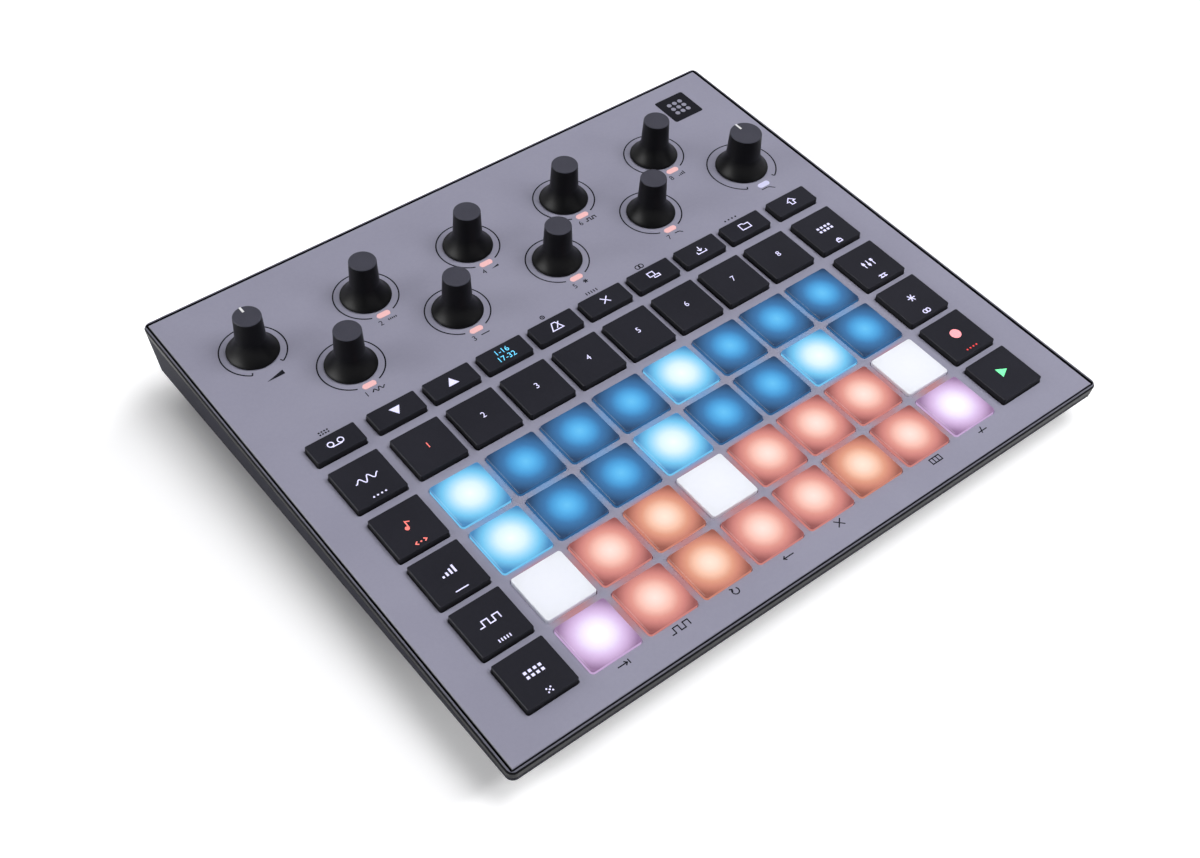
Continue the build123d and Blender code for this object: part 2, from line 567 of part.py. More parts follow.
def power_button():
    """Round button in the rear wall, kept in by a flange behind it."""
    stem = rearward(rear_place(POWER_X) * Circle(POWER_R), REAR_INSIDE - SOCKET_SEAT, REAR_FACE + POWER_PROUD)
    stem = fillet(stem.faces().sort_by(Axis.Y)[-1].edges(), POWER_EDGE)
    flange = rear_place(POWER_X) * Circle(POWER_R + SOCKET_GAP + POWER_FLANGE)
    end = REAR_INSIDE - SOCKET_SEAT
    return stem + rearward(flange, end - POWER_FLANGE + SOCKET_SEAT, end)


def battery_pack():
    """Flat rechargeable battery on the floor."""
    return block(BATTERY_WIDTH, BATTERY_DEPTH, FLOOR_TOP, FLOOR_TOP + BATTERY_HEIGHT, BATTERY_CORNER, BATTERY_Y)


def foot():
    """Round rubber foot, let into the base."""
    disc = post(FOOT_R, 0, BASE_HEIGHT + FOOT_SINK)
    return chamfer(disc.faces().sort_by(Axis.Z)[0].edges(), FOOT_EDGE)


def case_screw():
    """Pan-headed screw from under the base, through the board, into a post of the panel."""
    head = post(SCREW_HEAD_R, SCREW_SEAT - SCREW_HEAD_HEIGHT, SCREW_SEAT)
    drive = Pos(0, 0, SCREW_SEAT - SCREW_HEAD_HEIGHT) * extrude(RegularPolygon(SCREW_R, 6), SCREW_HEAD_HEIGHT / 2)
    shank = post(SCREW_R - SCREW_FIT / 2, SCREW_SEAT, SCREW_SEAT + SCREW_GRIP + BOARD_THICK + SCREW_REACH)
    return head + shank - drive


def save(name, solids):
    """Write a node's solids as one file."""
    export_step(Compound(children=list(solids)), os.path.join("parts", name + ".step"))


def main():
    """Make every node of the object."""
    os.makedirs("parts", exist_ok=True)
    save("base_shell", [base_shell()])
    save("rim_frame", [tilted(rim_frame())])
    save("top_panel", [tilted(top_panel())])
    save("keypad_mat", [tilted(keypad_mat())])
    save("circuit_boards", circuit_boards())
    save("encoder_bodies", [tilted(body) for body in at(ALL_KNOBS, encoder())])
    save("indicator_lenses", [tilted(pill) for pill in at(LENSES, lens())])
    save("battery_pack", [battery_pack()])
    save("audio_jacks", audio_jacks())
    save("mini_jacks", mini_jacks())
    save("data_sockets", data_sockets())
    save("rubber_feet", at(FEET, foot()))
    save("case_screws", [tilted(screw) for screw in at(POSTS, case_screw())])
    save("power_button", [power_button()])
    for number, solid in enumerate(at(PADS, pad()), 1):
        save(f"pad_{number:02d}", [tilted(solid)])
    for name, places in (("track_keys", TRACK_KEYS), ("left_keys", LEFT_KEYS), ("right_keys", RIGHT_KEYS)):
        save(name, [tilted(solid) for solid in at(places, square_key())])
    save("small_keys", [tilted(solid) for solid in at(SMALL_KEYS, small_key())])
    small_knob = knob(KNOB_HEIGHT, KNOB_CAP_R, KNOB_SKIRT_R)
    large_knob = knob(FILTER_HEIGHT, FILTER_CAP_R, FILTER_SKIRT_R)
    knobs = [(f"macro_knob_{number}", place, small_knob) for number, place in enumerate(MACRO_KNOBS, 1)]
    knobs.append(("volume_knob", VOLUME_KNOB, small_knob))
    knobs.append(("filter_knob", FILTER_KNOB, large_knob))
    for name, (x, y), solids in knobs:
        save(name, [tilted(Pos(x, y, 0) * solid) for solid in solids])


main()
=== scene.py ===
import json
import math

import bmesh
import bpy
import numpy as np
from mathutils import Matrix, Vector


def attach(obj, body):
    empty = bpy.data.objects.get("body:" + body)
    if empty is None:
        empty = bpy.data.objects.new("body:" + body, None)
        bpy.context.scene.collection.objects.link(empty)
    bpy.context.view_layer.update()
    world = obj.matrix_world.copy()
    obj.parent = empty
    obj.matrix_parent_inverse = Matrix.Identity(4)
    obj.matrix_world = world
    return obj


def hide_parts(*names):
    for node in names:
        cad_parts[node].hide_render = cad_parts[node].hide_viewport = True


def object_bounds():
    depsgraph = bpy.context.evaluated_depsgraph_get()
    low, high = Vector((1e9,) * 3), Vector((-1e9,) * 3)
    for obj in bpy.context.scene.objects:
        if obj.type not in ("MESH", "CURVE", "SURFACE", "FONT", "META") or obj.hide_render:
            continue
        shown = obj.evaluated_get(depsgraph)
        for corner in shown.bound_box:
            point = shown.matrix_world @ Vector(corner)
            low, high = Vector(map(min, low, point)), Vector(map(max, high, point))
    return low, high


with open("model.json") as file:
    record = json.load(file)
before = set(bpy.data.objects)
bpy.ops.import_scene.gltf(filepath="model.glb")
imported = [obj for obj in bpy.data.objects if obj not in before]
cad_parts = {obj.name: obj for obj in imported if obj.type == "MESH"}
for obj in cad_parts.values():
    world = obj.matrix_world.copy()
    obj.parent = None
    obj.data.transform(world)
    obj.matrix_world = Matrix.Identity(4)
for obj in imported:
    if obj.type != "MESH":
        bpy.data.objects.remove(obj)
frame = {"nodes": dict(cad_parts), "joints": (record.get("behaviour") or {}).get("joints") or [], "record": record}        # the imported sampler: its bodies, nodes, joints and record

CAD_BOX = [list(corner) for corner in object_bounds()]

# The panel's own frame, read from the joints: x across, y to the rear, z along its normal, in millimetres
MM = 0.001
MICRON = 0.000001
UPPER_ROW = 72.55
LOWER_ROW = 48.45
JOINTS = {joint["name"]: joint for joint in frame["joints"]}
NORMAL = -np.array(JOINTS["pad_01_press"]["axis"], float)
ACROSS = np.array([1.0, 0.0, 0.0])
REARWARD = np.cross(NORMAL, ACROSS)
FIRST_KNOB = np.array(JOINTS["macro_knob_1_turn"]["pos_m"], float)
ORIGIN = FIRST_KNOB * [0, 1, 1] - LOWER_ROW * MM * REARWARD

# Places of the controls on the panel
PITCH = 21.16
COLUMNS = [(i - 3.5) * PITCH for i in range(8)]
SIDE_X = 96.62
FIRST_PAD_ROW = -19.1
PADS_MIDDLE = FIRST_PAD_ROW - 1.5 * PITCH
TRACK_ROW = 3.2
SMALL_ROW = 21.4
SQUARE_ROWS = [TRACK_ROW] + [FIRST_PAD_ROW - i * PITCH for i in range(4)]
PAD_HALF = 9.2
KEY_TOP = 2.3

# Knobs
KNOB_SIZES = {"height": 16.3, "cap_r": 4.75, "skirt_r": 8.9}
FILTER_SIZES = {"height": 15.9, "cap_r": 5.9, "skirt_r": 9.8}
MACROS = [(f"macro_knob_{i + 1}", x, UPPER_ROW if i % 2 else LOWER_ROW) for i, x in enumerate(COLUMNS)]
KNOBS = [(*knob, KNOB_SIZES) for knob in MACROS]
KNOBS += [("volume_knob", -SIDE_X, UPPER_ROW, KNOB_SIZES), ("filter_knob", SIDE_X, LOWER_ROW, FILTER_SIZES)]
STOPPED = ("volume_knob", "filter_knob")
KNOB_LIFT = 0.25
KNOB_RIM = 0.35
KNOB_FLARE = 6.4
FLARE_STEP = 0.15
FLARE_IN, FLARE_UP = 1.54, 1.21
KNOB_DRAFT = 0.4
KNOB_HOLLOW = 1.3
SKIRT_ROUND = 0.12
NECK_END = 0.4
CAP_ROUND = 0.35
CAP_RING_EDGE = 0.5
CAP_RING_DROP = 0.06
CAP_RING_STEP = 0.55
CAP_RING_DEPTH = 0.012
SHAFT_R = 3.0
SHAFT_FOOT = -5.0
KNOB_SIDES = 96
QUARTER_POINTS, FLARE_POINTS, NECK_POINTS, CAP_RING_POINTS = 20, 32, 6, 70
POINTER_START = 0.45        # share of the cap's radius
POINTER_END = 0.12
POINTER_WIDTH = 0.75
POINTER_SINK, POINTER_RISE = 0.2, 0.03

# Printed marks and lit legends
RING_R = 11.2
FILTER_RING_R = 12.9
RING_LINE = 0.5
FRONT = 180        # degrees clockwise from the rear
RING_GAP, STOP_GAP = 21.5, 31        # degrees each side of the front
RING_POINTS = 90
STOP_TICK = 1.2
INK_LOW, INK_HIGH = -0.06, 0.02
LEGEND_LOW, LEGEND_HIGH = KEY_TOP - 0.06, KEY_TOP + 0.025
LEGEND_LINE = 0.4
MARK_RISE = 0.5
LOWER_MARK = -6.9
LOWER_SCALE = 0.8
RANGE_RISE, RANGE_DROP = 1.5, -1.6
NUMBER_HEIGHT = 2.3
NUMBER_SCALE = 0.95
FIGURE_SHARE = 0.7        # a figure's height as a share of its type size
SIGN_DROP, FILTER_SIGN_DROP = 14.0, 15.2
NUMBER_SHIFT, SIGN_SHIFT = -2.9, 1.6
VOLUME_SIGN_SCALE, MACRO_SIGN_SCALE = 1.3, 0.6
REAR_SIGNS, REAR_SIGN_SCALE = 29.0, 0.9
FRONT_SIGNS, FRONT_SIGN_SCALE = -94.4, 0.95
BADGE_AT = (100.0, 88.9)
BADGE_HALF = 6.75
BADGE_CORNER = 0.9
CORNER_POINTS = 7
DOT_PLACES = (-2.6, 0, 2.6)
DOT_R = 0.95
DOT_SINK, DOT_RISE = 0.01, 0.02
DISC_SIDES, CIRCLE_SIDES = 24, 30

# Meshes
SHARP_ANGLE = 40
MERGE_GAP = 1e-7
MITRE_LIMIT = 0.4


def linear(red, green, blue):
    """A colour read from 0 to 255 as the eye sees it, turned into light: ((c + 0.055) / 1.055) ** 2.4."""
    share = np.array([red, green, blue]) / 255
    light = np.where(share <= 0.04045, share / 12.92, ((share + 0.055) / 1.055) ** 2.4)
    return (*(float(part) for part in light), 1.0)


def dimmed(colour, share):
    """A colour as light, with its three values taken times a share first."""
    return linear(*(share * np.array(colour)))


def add_object(name, data):
    """A new object in the scene."""
    made = bpy.data.objects.new(name, data)
    bpy.context.scene.collection.objects.link(made)
    return made


# Shader sums

class Wire:
    """One socket of a node tree: sums on it add Math nodes, and node() adds any other node."""

    def __init__(self, tree, socket=None):
        self.tree = tree
        self.socket = socket

    def node(self, kind, settings=None, inputs=None, output=0):
        """Add a node: its settings first, then the values or wires of its sockets."""
        made = self.tree.nodes.new("ShaderNode" + kind)
        for name, value in (settings or {}).items():
            if name == "stops":
                fill_ramp(made.color_ramp, value)
            else:
                setattr(made, name, value)
        for name, value in (inputs or {}).items():
            self.join(value, made.inputs[name])
        return Wire(self.tree, made.outputs[output])

    def join(self, value, socket):
        """Link a wire to a socket, or set a plain value on it."""
        if isinstance(value, Wire):
            self.tree.links.new(value.socket, socket)
        else:
            socket.default_value = value

    def calc(self, operation, *values):
        """A Math node on these values."""
        return self.node("Math", {"operation": operation}, dict(enumerate(values)))

    def __add__(self, other):
        return self.calc("ADD", self, other)

    def __sub__(self, other):
        return self.calc("SUBTRACT", self, other)

    def __rsub__(self, other):
        return self.calc("SUBTRACT", other, self)

    def __mul__(self, other):
        return self.calc("MULTIPLY", self, other)

    def __truediv__(self, other):
        return self.calc("DIVIDE", self, other)

    def __pow__(self, other):
        return self.calc("POWER", self, other)

    def __abs__(self):
        return self.calc("ABSOLUTE", self)

    __radd__ = __add__
    __rmul__ = __mul__

    def fraction(self):
        """What is left above the whole number below."""
        return self.calc("FRACT", self)

    def capped(self):
        """This value, or 1 where it is more."""
        return self.calc("MINIMUM", self, 1.0)

    def along(self, direction):
        """How far a point lies along a direction."""
        return self.node("VectorMath", {"operation": "DOT_PRODUCT"}, {0: self, 1: tuple(direction)}, 1)

    def panel_way(self, direction):
        """How far a point lies along one of the panel's directions, in millimetres from its origin."""
        moved = self.node("VectorMath", {"operation": "SUBTRACT"}, {0: self, 1: tuple(ORIGIN)})
        return moved.along(direction) / MM

    def between(self, first, second):
        """Mix two colours, with this wire as the share of the second."""
        return self.node("Mix", {"data_type": "RGBA"}, {0: self, 6: first, 7: second}, 2)

    def step(self, low, high):
        """A smooth step from 0 at low to 1 at high."""
        settings = {"interpolation_type": "SMOOTHSTEP"}
        return self.node("MapRange", settings, {"Value": self, "From Min": low, "From Max": high})

    def noise(self, scale, detail=2.0):
        """Noise on these coordinates, from 0 to 1."""
        return self.node("TexNoise", None, {"Vector": self, "Scale": scale, "Detail": detail})

    def bump(self, depth):
        """A normal from a height in shares of a depth in metres."""
        return self.node("Bump", None, {"Strength": 1.0, "Distance": depth, "Height": self})


def fill_ramp(ramp, stops):
    """Give a colour ramp these (place, colour) stops."""
    while len(ramp.elements) < len(stops):
        ramp.elements.new(1.0)
    for element, (place, colour) in zip(ramp.elements, stops):
        element.position = place
        element.color = colour


def start(name, constants):
    """A new material with constants on its shader's sockets. Returns it and its object coordinates."""
    material = bpy.data.materials.new(name)
    material.use_nodes = True
    tree = material.node_tree
    shader = tree.nodes["Principled BSDF"]
    for socket, value in constants.items():
        shader.inputs[socket].default_value = value
    return material, Wire(tree).node("TexCoord", output="Object")


def feed(material, wires):
    """Link wires to the shader's sockets."""
    shader = material.node_tree.nodes["Principled BSDF"]
    for socket, wire in wires.items():
        wire.join(wire, shader.inputs[socket])
    return material


# Finishes: noise scales are per metre, heights on the panel in millimetres, grain depths in micrometres

SPECULAR = "Specular IOR Level"
METAL = {"Metallic": 1.0}
BLACK = (0, 0, 0, 1)
WHITE = (1, 1, 1, 1)
CLOUD_SCALE, CLOUD_DETAIL, CLOUD_SHARE = 35.0, 4.0, 0.7
SPECK_SCALE = 900.0
TONE_LOW, TONE_HIGH = 0.25, 0.75
GLOSS_SPREAD = 0.1


def cloudy(place, dark, light):
    """A colour between two tones, by large clouds and small specks. Returns it and the clouds."""
    cloud = place.noise(CLOUD_SCALE, CLOUD_DETAIL)
    tone = cloud * CLOUD_SHARE + place.noise(SPECK_SCALE) * (1 - CLOUD_SHARE)
    return tone.step(TONE_LOW, TONE_HIGH).between(linear(*dark), linear(*light)), cloud


def grained(material, place, colour, cloud, roughness, grain, depth):
    """Feed a shader a colour, a roughness that clouds make uneven, and a fine grain."""
    return feed(material, {
        "Base Color": colour,
        "Roughness": roughness - GLOSS_SPREAD / 2 + GLOSS_SPREAD * cloud,
        "Normal": place.noise(grain).bump(depth * MICRON),
    })


def moulded(name, dark, light, roughness, grain, depth, constants=None):
    """Moulded plastic, print or plating: cloudy tone between two colours, uneven gloss and a fine grain."""
    material, place = start(name, constants or {})
    colour, cloud = cloudy(place, dark, light)
    return grained(material, place, colour, cloud, roughness, grain, depth)


# By slot: name, darker and lighter colour, roughness, the grain's scale and depth, and constants
MOULDINGS = {
    "base": ("case_grain", (48, 48, 57), (54, 54, 63), 0.55, 3000.0, 20, {SPECULAR: 0.03}),
    "button": ("button_satin", (38, 38, 42), (46, 46, 50), 0.5, 4200.0, 6),
    "socket": ("socket_moulding", (20, 20, 21), (28, 28, 30), 0.45, 3000.0, 10),
    "foot": ("foot_rubber", (26, 26, 27), (34, 34, 35), 0.8, 2500.0, 30),
    "mat": ("mat_silicone", (176, 176, 180), (190, 190, 194), 0.7, 2500.0, 10),
    "board": ("board_mask", (18, 78, 46), (24, 90, 54), 0.4, 1500.0, 10),
    "battery": ("battery_wrap", (44, 54, 78), (52, 62, 88), 0.35, 900.0, 10),
    "encoder": ("encoder_can", (150, 150, 152), (176, 176, 178), 0.35, 2500.0, 6, METAL),
    "socket_shell": ("plated_shell", (176, 176, 178), (196, 196, 198), 0.28, 2500.0, 4, METAL),
    "screw": ("screw_plating", (40, 40, 42), (56, 56, 58), 0.35, 2500.0, 6, METAL),
}

PAD_STRENGTH = 2.0
PAD_SHINE = {"Emission Strength": PAD_STRENGTH, "Roughness": 0.35, SPECULAR: 0.3}
PAD_SIDE_LOW, PAD_SIDE_HIGH = 0.35, 0.8
SIDE_SHARE = 0.5
LIGHT_REACH = 1.4
FROST_SCALE, FROST_DETAIL, FROST_SPREAD = 700.0, 3.0, 0.035
PAD_MOTTLE = 0.9
PAD_GRAIN, PAD_GRAIN_DEPTH = 5200.0, 6

# By slot: light as (distance from the middle in half pads, colour) stops, the pad's own colour,
# and its mottle where it isn't the usual one
PAD_LIGHTS = {
    "pad_bright": ([(0.0, (250, 255, 255)), (0.45, (222, 243, 249)), (0.75, (158, 215, 243)),
                    (0.95, (112, 192, 232)), (1.25, (66, 126, 176))], (40, 70, 92)),
    "pad_blue": ([(0.0, (103, 195, 244)), (0.25, (86, 180, 236)), (0.5, (68, 152, 210)),
                  (0.75, (53, 112, 164)), (0.95, (46, 94, 140)), (1.25, (26, 52, 84))], (34, 50, 72)),
    "pad_white": ([(0.0, (108, 110, 120)), (0.9, (94, 97, 106)), (1.25, (74, 77, 84))],
                  (229, 231, 238), 0.985),
    "pad_salmon": ([(0.0, (252, 231, 222)), (0.25, (250, 219, 208)), (0.5, (244, 194, 180)),
                    (0.75, (220, 150, 138)), (0.95, (198, 125, 119)), (1.25, (134, 74, 74))], (84, 52, 50)),
    "pad_orange": ([(0.0, (252, 233, 216)), (0.25, (250, 222, 204)), (0.5, (243, 197, 172)),
                    (0.75, (218, 153, 127)), (0.95, (198, 128, 110)), (1.25, (136, 78, 68))], (86, 54, 46)),
    "pad_pink": ([(0.0, (255, 252, 255)), (0.3, (250, 246, 252)), (0.55, (236, 225, 247)),
                  (0.75, (217, 193, 231)), (0.95, (192, 163, 203)), (1.25, (128, 98, 134))], (92, 75, 98)),
}


def lit_pad(name, stops, body, mottle=PAD_MOTTLE):
    """Frosted pad lit from below: the light falls off away from the pad's middle, and its sides glow.

    The middle is found from the panel's x and y modulo the pitch of the pads.
    """
    material, place = start(name, PAD_SHINE)
    columns = place.panel_way(ACROSS) / PITCH
    rows = place.panel_way(REARWARD) / PITCH + (0.5 - FIRST_PAD_ROW / PITCH)
    across, along = (way.fraction() - 0.5 for way in (columns, rows))
    reach = (across * across + along * along) ** 0.5 * (PITCH / PAD_HALF)
    frost = place.noise(FROST_SCALE, FROST_DETAIL)
    spread = reach + (frost - 0.5) * FROST_SPREAD
    ramp = [(r / LIGHT_REACH, tuple(np.array(linear(*c)) / PAD_STRENGTH)) for r, c in stops]
    top = spread.node("ValToRGB", {"stops": ramp}, {"Fac": spread / LIGHT_REACH})
    side = 1 - place.panel_way(NORMAL).step(PAD_SIDE_LOW, PAD_SIDE_HIGH)
    side_light = SIDE_SHARE * np.array(linear(*stops[-2][1]))
    return feed(material, {
        "Emission Color": side.between(top, tuple(side_light)),
        "Base Color": frost.between(linear(*body), dimmed(body, mottle)),
        "Normal": place.noise(PAD_GRAIN).bump(PAD_GRAIN_DEPTH * MICRON),
    })


# By colour: the light of a legend, and its strength
LEGEND_LIGHTS = {
    "lavender": ((206, 204, 236), 0.75),
    "salmon": ((240, 120, 112), 0.8),
    "cyan": ((98, 200, 240), 0.9),
    "pink": ((250, 150, 158), 0.9),
    "red": ((226, 62, 62), 0.8),
    "green": ((112, 236, 160), 0.9),
}
MARK_CLOUDS, MARK_MOTTLE = 1500.0, 0.85


def light_mark(name, colour, strength):
    """A mark lit from below: its own colour, a little cloudy."""
    material, place = start(name, {"Emission Strength": strength, "Roughness": 0.5})
    shade = place.noise(MARK_CLOUDS).between(linear(*colour), dimmed(colour, MARK_MOTTLE))
    return feed(material, {"Base Color": shade, "Emission Color": shade})


PANEL_EDGE_X, PANEL_EDGE_Y, EDGE_WIDTH = 118.0, 101.7, 0.2
EDGE_LOW, EDGE_HIGH = -0.3, -0.1
GLOW_FADE, GLOW_END = 2.4, 0.8
HUE_CHANGE = 1.5


def panel_paint():
    """Satin lilac-grey paint: cloudy tone, fine grain, a dark outer edge, and the pads' light painted between
    them, with painted shade there.

    The light is blue behind the middle of the pads and salmon in front of it. It is strongest beside the
    middle of a pad's edge, falls by the squared cosine of the way from there, and ends at the outer pads.
    """
    material, place = start("panel_paint", {"Emission Strength": 1.0, SPECULAR: 0.3})
    paint, cloud = cloudy(place, (145, 144, 163), (151, 150, 169))
    across = place.panel_way(ACROSS)
    rearward = place.panel_way(REARWARD)
    along = rearward - PADS_MIDDLE
    # The pads' light here is painted on the panel: a glow in its emission, and a darker tinted base colour
    # for the pads' shade and spill.
    near = [1 - abs(way).step(reach - GLOW_FADE, reach - GLOW_END)
            for way, reach in ((across, 4 * PITCH), (along, 2 * PITCH))]
    waves = [way.calc("SINE", way * (math.pi / PITCH)) for way in (across, along)]
    lit = (near[0] * near[1] * (waves[0] * waves[0] + waves[1] * waves[1])).capped()
    rear = along.step(-HUE_CHANGE, HUE_CHANGE)
    painted_gap_tint = rear.between(linear(146, 128, 134), linear(122, 140, 164))
    hue = rear.between(linear(116, 18, 8), linear(10, 74, 122))
    outer = [abs(way).step(edge, edge + EDGE_WIDTH)
             for way, edge in ((across, PANEL_EDGE_X), (rearward, PANEL_EDGE_Y))]
    below = 1 - place.panel_way(NORMAL).step(EDGE_LOW, EDGE_HIGH)
    edge = (outer[0] + outer[1]).capped() * below
    colour = edge.between(lit.between(paint, painted_gap_tint), linear(14, 14, 18))
    grained(material, place, colour, cloud, roughness=0.5, grain=2600.0, depth=7)
    return feed(material, {"Emission Color": lit.between(BLACK, hue)})


RIGHT_LENS_FROM, RIGHT_LENS_TO = 80.0, 82.0


def lens_light():
    """Frosted lamp lens: salmon, or pale lavender at the right-hand knob, a little cloudy."""
    material, place = start("lens_light", {"Emission Strength": 0.75, "Roughness": 0.3})
    right = place.panel_way(ACROSS).step(RIGHT_LENS_FROM, RIGHT_LENS_TO)
    cloud = place.noise(SPECK_SCALE)
    salmon = cloud.between(linear(240, 184, 184), linear(236, 196, 196))
    pale = cloud.between(linear(208, 206, 240), linear(218, 216, 246))
    return feed(material, {
        "Base Color": right.between(linear(150, 110, 112), linear(120, 120, 140)),
        "Emission Color": right.between(salmon, pale),
    })


KEY_EDGE_LOW, KEY_EDGE_HIGH = KEY_TOP - 0.2, KEY_TOP - 0.06


def key_coat():
    """Satin black key: cloudy tone, uneven gloss and fine grain, with painted shade on its sides from the
    top's edge downwards.
    """
    material, place = start("key_satin", {SPECULAR: 0.25})
    satin, cloud = cloudy(place, (30, 30, 38), (35, 35, 44))
    top = place.panel_way(NORMAL).step(KEY_EDGE_LOW, KEY_EDGE_HIGH)
    # The near-black sides below the top's edge are painted shade.
    colour = top.between(linear(9, 9, 12), satin)
    return grained(material, place, colour, cloud, roughness=0.47, grain=4200.0, depth=6)


LIP_LOW, LIP_HIGH = -0.12, -0.03


def rim_coat():
    """Satin black rim: cloudy tone and fine grain, with a painted highlight on the lip level with the panel's
    top.
    """
    material, place = start("rim_satin", {SPECULAR: 0.06})
    satin, cloud = cloudy(place, (14, 14, 19), (20, 20, 25))
    lip = place.panel_way(NORMAL).step(LIP_LOW, LIP_HIGH)
    # The paler colour on the lip is a painted highlight.
    colour = lip.between(satin, linear(106, 106, 118))
    return grained(material, place, colour, cloud, roughness=0.32, grain=3500.0, depth=6)


CAP_SIDE_DROP, CAP_TOP_DROP = 0.34, 0.3
COAT_SCALE, COAT_DETAIL = 160.0, 3.0


def knob_coat(height, cap_r):
    """Soft-touch black with a paler top: cloudy tone, uneven gloss and a very fine grain."""
    material, place = start(f"knob_coat_{cap_r * 100:.0f}", {SPECULAR: 0.14})
    cloud = place.noise(COAT_SCALE, COAT_DETAIL)
    side = cloud.between(linear(6, 6, 8), linear(9, 9, 12))
    cap = cloud.between(linear(64, 64, 74), linear(72, 72, 83))
    top = place.panel_way(NORMAL).step(height - CAP_SIDE_DROP, height - CAP_TOP_DROP)
    return grained(material, place, top.between(side, cap), cloud, roughness=0.43, grain=4200.0, depth=3)


FINISHES = {slot: moulded(*finish) for slot, finish in MOULDINGS.items()}
FINISHES.update({slot: lit_pad(slot, *light) for slot, light in PAD_LIGHTS.items()})
FINISHES.update({"rim": rim_coat(), "panel": panel_paint(), "key": key_coat(), "lens": lens_light()})
LEGENDS = {colour: light_mark("legend_" + colour, *light) for colour, light in LEGEND_LIGHTS.items()}
# The pointer is no lamp: its faint glow is painted light.
POINTER_PAINTED_GLOW = light_mark("pointer_painted_glow", (236, 236, 238), strength=0.15)
INK = moulded("panel_ink", (22, 22, 29), (27, 27, 35), roughness=0.6, grain=2500.0, depth=4,
              constants={SPECULAR: 0.12})


def dress_solids():
    """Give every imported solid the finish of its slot. The plain knobs, which don't show, get the keys'."""
    slots = {part["node"]: part["material_slot"] for part in frame["record"]["subparts"]}
    for node, solid in frame["nodes"].items():
        solid.data.materials.clear()
        solid.data.materials.append(FINISHES.get(slots[node], FINISHES["key"]))


# Surfaces

def on_panel(points):
    """Points of the panel's frame in millimetres, carried to the object's frame in metres."""
    x, y, z = np.moveaxis(np.asarray(points, float), -1, 0)
    return ORIGIN + MM * (x[..., None] * ACROSS + y[..., None] * REARWARD + z[..., None] * NORMAL)


def grid_faces(rows, columns):
    """Quads between neighbouring rows of a grid whose last column meets its first."""
    row = np.arange(rows - 1)[:, None] * columns
    column = np.arange(columns)[None, :]
    ahead = (column + 1) % columns
    quads = np.stack([row + column, row + ahead, row + columns + ahead, row + columns + column], -1)
    return quads.reshape(-1, 4).tolist()


def turned(profile, x, y):
    """A profile of (radius, height) points turned about the panel's normal at (x, y)."""
    radius, height = np.asarray(profile, float).T
    turn = np.linspace(0, 2 * math.pi, KNOB_SIDES, endpoint=False)
    ring_x = x + radius[:, None] * np.cos(turn)
    ring_y = y + radius[:, None] * np.sin(turn)
    points = np.stack([ring_x, ring_y, np.broadcast_to(height[:, None], ring_x.shape)], -1)
    return points.reshape(-1, 3), grid_faces(len(radius), KNOB_SIDES)


def plate(outline, low, high):
    """A flat outline of (x, y) points as a closed plate between two heights."""
    outline = np.asarray(outline, float)
    count = len(outline)
    layers = [np.column_stack([outline, np.full(count, z)]) for z in (low, high)]
    faces = [list(range(count))[::-1], list(range(count, 2 * count))]
    return np.vstack(layers), faces + grid_faces(2, count)


def ribbon(path, width, low, high, closed=False):
    """A line of some width along (x, y) points: each point moved half a width to both sides, mitred."""
    path = np.asarray(path, float)
    if closed:
        ahead, behind = np.roll(path, -1, 0) - path, path - np.roll(path, 1, 0)
    else:
        steps = np.diff(path, axis=0)
        ahead, behind = np.vstack([steps, steps[-1:]]), np.vstack([steps[:1], steps])
    ahead, behind = (step / np.linalg.norm(step, axis=1)[:, None] for step in (ahead, behind))
    mean = ahead + behind
    mean /= np.linalg.norm(mean, axis=1)[:, None]
    reach = width / 2 / np.clip((mean * ahead).sum(1), MITRE_LIMIT, 1)
    side = np.column_stack([-mean[:, 1], mean[:, 0]]) * reach[:, None]
    edges = [(path + side, low), (path - side, low), (path - side, high), (path + side, high)]
    rows = np.stack([np.column_stack([edge, np.full(len(path), z)]) for edge, z in edges], 1)
    if closed:
        rows = np.concatenate([rows, rows[:1]])
    faces = grid_faces(len(rows), 4)
    if not closed:
        last = 4 * (len(rows) - 1)
        faces += [[3, 2, 1, 0], [last, last + 1, last + 2, last + 3]]
    return rows.reshape(-1, 3), faces


def arc(x, y, radius, first, last, count):
    """Points on a circle from one angle to another, in degrees from the rear, clockwise."""
    turn = np.radians(np.linspace(first, last, count))
    return np.column_stack([x + radius * np.sin(turn), y + radius * np.cos(turn)])


def circle(x, y, radius, sides):
    """Points of a whole circle, with the first not repeated at its end."""
    return arc(x, y, radius, 0, 360 - 360 / sides, sides)


def four_corners(x, y, half_x, half_y):
    """Corners of a rectangle, from its middle and half its sides."""
    sides = ((-1, -1), (1, -1), (1, 1), (-1, 1))
    return [(x + side_x * half_x, y + side_y * half_y) for side_x, side_y in sides]


def rounded_square(x, y, half, corner):
    """Outline of a square with round corners: a quarter circle about each corner's own middle."""
    inner = half - corner
    rows = []
    for quarter, (side_x, side_y) in enumerate(((1, 1), (-1, 1), (-1, -1), (1, -1))):
        turn = np.linspace(0, math.pi / 2, CORNER_POINTS) + quarter * math.pi / 2
        rows.append(np.column_stack([inner * side_x + corner * np.cos(turn),
                                     inner * side_y + corner * np.sin(turn)]))
    return np.vstack(rows) + [x, y]


def tidy_mesh(mesh):
    """Close seams and poles, turn faces outwards and smooth all but sharp edges."""
    work = bmesh.new()
    work.from_mesh(mesh)
    bmesh.ops.remove_doubles(work, verts=work.verts, dist=MERGE_GAP)
    bmesh.ops.dissolve_degenerate(work, edges=work.edges, dist=MERGE_GAP)
    bmesh.ops.recalc_face_normals(work, faces=work.faces)
    work.to_mesh(mesh)
    work.free()
    mesh.polygons.foreach_set("use_smooth", np.ones(len(mesh.polygons), bool))
    mesh.set_sharp_from_angle(angle=math.radians(SHARP_ANGLE))


